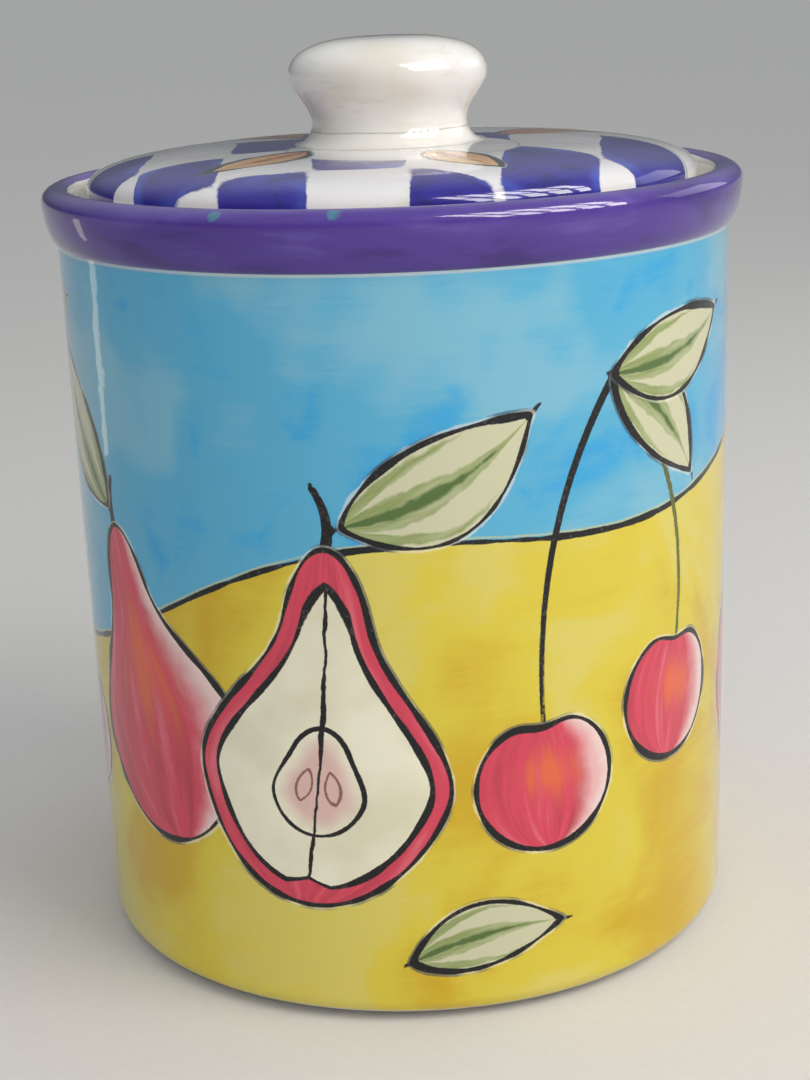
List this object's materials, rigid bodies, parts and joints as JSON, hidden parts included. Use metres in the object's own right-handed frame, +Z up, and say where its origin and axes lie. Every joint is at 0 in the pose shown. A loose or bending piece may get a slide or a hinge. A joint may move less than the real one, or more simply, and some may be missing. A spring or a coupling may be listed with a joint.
{
  "type": "biscuit jar",
  "caption": "Straight-sided glazed earthenware biscuit jar with a rolled rim and a round lid with a waisted knob that lifts off.",
  "frame": {"origin": "middle of the foot's underside, where the jar stands", "axes": "+Z up along the jar's own axis; the painted front faces -Y, +X to its right"},
  "size_m": [0.183, 0.183, 0.2368],
  "materials": {
    "painted_glaze": "glossy clear glaze over blue and yellow underglaze painting",
    "bare_biscuit": "unglazed, wiped foot",
    "purple_glaze": "glossy, brushed purple underglaze",
    "white_glaze": "glossy creamy white glaze",
    "check_glaze": "glossy, white with hand-painted blue checks"
  },
  "bodies": {
    "jar": {"jar_body": "painted_glaze", "foot_ring": "bare_biscuit", "rim_bead": "purple_glaze", "lid_gallery": "white_glaze"},
    "lid": {"lid_dome": "check_glaze", "lid_flange": "white_glaze", "lid_knob": "white_glaze"}
  },
  "joints": [
    {"name": "lid_lift", "type": "slide", "parent": "jar", "child": "lid", "axis": [0, 0, 1], "range_m": [0, 0.25]}
  ]
}
